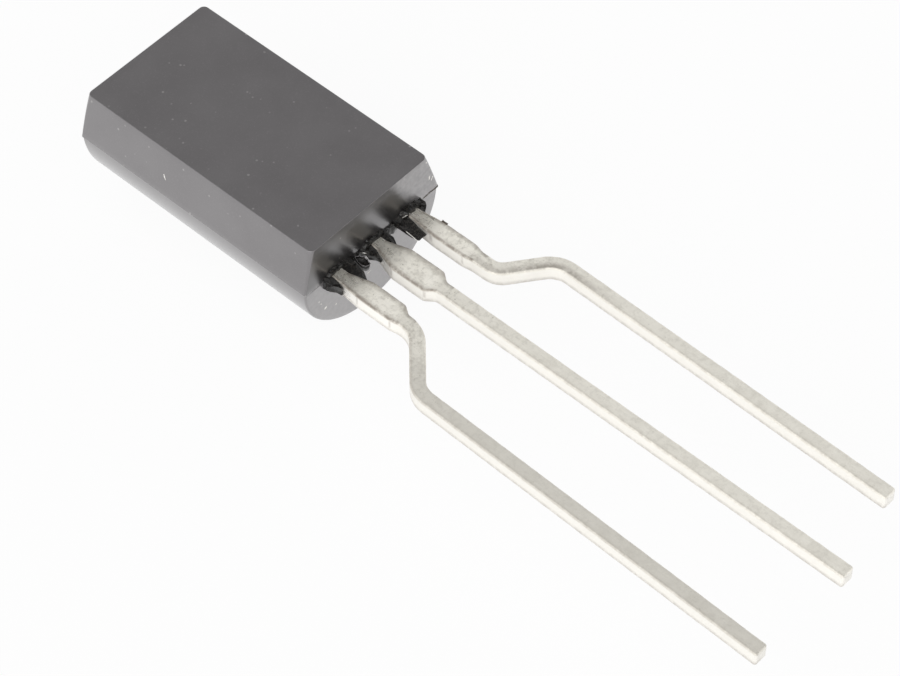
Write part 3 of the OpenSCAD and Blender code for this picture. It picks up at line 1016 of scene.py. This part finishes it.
def build_chips(material):
    """Pale chips on the end face, pale flakes painted as glints on the flash, and a sliver on the side."""
    draw = random.Random(SEED + 1)
    shape = bmesh.new()
    outward = Vector((0, -1, 0))
    for x, z, slant, length, width in END_CHIPS:
        along = Vector((math.cos(math.radians(slant)), 0, math.sin(math.radians(slant))))
        add_chip(shape, end_place(x, z), along, outward, length, width, draw)
    # Pale flakes painted as glints on the flash
    for (x, out, z), (across, away), length, width in FLASH_GLINTS:
        along = Vector((across, -away, 0)).normalized()
        add_chip(shape, Vector((x, -HALF_LENGTH - out, z)), along, Vector((0, 0, 1)), length, width, draw)
    run = SLIVER_TOP - SLIVER_FOOT
    normal = Vector((PARTING_Z - FACE_Z, 0, HALF_WIDTH - FACE_HALF_WIDTH)).normalized()
    middle = (SLIVER_TOP + SLIVER_FOOT) / 2
    add_chip(shape, middle, run.normalized(), normal, run.length, SLIVER_WIDTH, draw)
    add_piece("pale_chips", shape, material, smooth=False)


def dress_inner_pieces():
    """Finishes for the chip, its solder and its wires, which the resin hides."""
    gold = inner_material("gold_wire", GOLD_TONES, size_mm=0.05, metallic=1.0, roughness=0.25)
    finishes = {
        "silicon_die": inner_material("silicon", SILICON_TONES, size_mm=0.1, metallic=0.6, roughness=0.25),
        "die_solder": inner_material("solder", SOLDER_TONES, size_mm=0.05, metallic=1.0, roughness=0.4),
        "emitter_bond_wire": gold,
        "base_bond_wire": gold,
    }
    for name, material in finishes.items():
        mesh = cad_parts[name].data
        mesh.materials.clear()
        mesh.materials.append(material)


def build_floor():
    """A plain pale floor that stays white to the eye and in reflections, and keeps a soft shadow."""
    bpy.ops.mesh.primitive_plane_add(size=FLOOR_SIDE * MM, location=(0, 0, 0))
    floor = bpy.context.object
    floor.name = "floor"
    material = bpy.data.materials.new("floor_white")
    material.use_nodes = True
    tree = material.node_tree
    tree.nodes.clear()
    path = tree.nodes.new("ShaderNodeLightPath")
    seen = maths(tree, "MAXIMUM", path.outputs["Is Camera Ray"], path.outputs["Is Glossy Ray"])
    seen = maths(tree, "MAXIMUM", seen, path.outputs["Is Transmission Ray"])
    matte = add_node(tree, "ShaderNodeBsdfDiffuse", Color=FLOOR_TONE)
    glow = add_node(tree, "ShaderNodeEmission", Color=WHITE, Strength=1.0)
    mix = tree.nodes.new("ShaderNodeMixShader")
    feed(tree, mix, (product(tree, seen, FLOOR_WHITE), matte.outputs[0], glow.outputs[0]))
    output = tree.nodes.new("ShaderNodeOutputMaterial")
    tree.links.new(mix.outputs[0], output.inputs["Surface"])
    floor.data.materials.append(material)


def toward(tree, direction, way):
    """How far a direction points the given way, up to 1."""
    made = tree.nodes.new("ShaderNodeVectorMath")
    made.operation = "DOT_PRODUCT"
    feed(tree, made, (direction, way))
    return made.outputs["Value"]


def build_world():
    """A white studio with dim panels that the part's flat face and end mirror."""
    world = bpy.data.worlds.new("studio")
    bpy.context.scene.world = world
    world.use_nodes = True
    tree = world.node_tree
    tree.nodes.clear()
    direction = tree.nodes.new("ShaderNodeTexCoord").outputs["Generated"]
    level = SKY_LEVEL
    for way, rim, core, panel_level in PANELS:
        shade = ramp(tree, toward(tree, direction, way), rim, core, 1.0, panel_level)
        level = product(tree, level, shade)
    path = tree.nodes.new("ShaderNodeLightPath")
    strength = maths(tree, "MAXIMUM", level, path.outputs["Is Camera Ray"])
    back = add_node(tree, "ShaderNodeBackground", Color=WHITE, Strength=strength)
    output = tree.nodes.new("ShaderNodeOutputWorld")
    tree.links.new(back.outputs[0], output.inputs["Surface"])


def build_lamp():
    """A square soft box on the left that faces the part."""
    data = bpy.data.lights.new("left_box", "AREA")
    data.energy = LAMP_WATTS
    data.size = LAMP_SIZE * MM
    lamp = bpy.data.objects.new("left_box", data)
    lamp.location = LAMP_PLACE * MM
    lamp.rotation_mode = "QUATERNION"
    lamp.rotation_quaternion = (-LAMP_PLACE).to_track_quat("-Z", "Y")
    bpy.context.scene.collection.objects.link(lamp)


def build_camera():
    """The camera, placed and turned as it was fitted to the photo."""
    data = bpy.data.cameras.new("camera")
    data.sensor_width = SENSOR_WIDTH
    data.lens = CAMERA_LENS
    data.clip_start = CLIP_START * MM
    data.clip_end = CLIP_END * MM
    camera = bpy.data.objects.new("camera", data)
    back = -CAMERA_FORWARD.normalized()
    right = (CAMERA_RIGHT - CAMERA_RIGHT.project(back)).normalized()
    up = back.cross(right)
    turn = Matrix((right, up, back)).transposed().to_4x4()
    camera.matrix_world = Matrix.Translation(CAMERA_PLACE * MM) @ turn
    bpy.context.scene.collection.objects.link(camera)
    bpy.context.scene.camera = camera


resin = resin_material()
build_body(resin)
build_leads(tin_material())
broken_resin = broken_resin_material()
brown_resin = flake_material("brown_resin", *BROWN_TONES)
build_flash(broken_resin, brown_resin)
build_crumb(brown_resin)
build_bubble(broken_resin, resin)
build_chips(flake_material("pale_resin", *PALE_TONES))
dress_inner_pieces()
build_floor()
build_world()
build_lamp()
build_camera()
bpy.context.scene.view_settings.view_transform = "Standard"
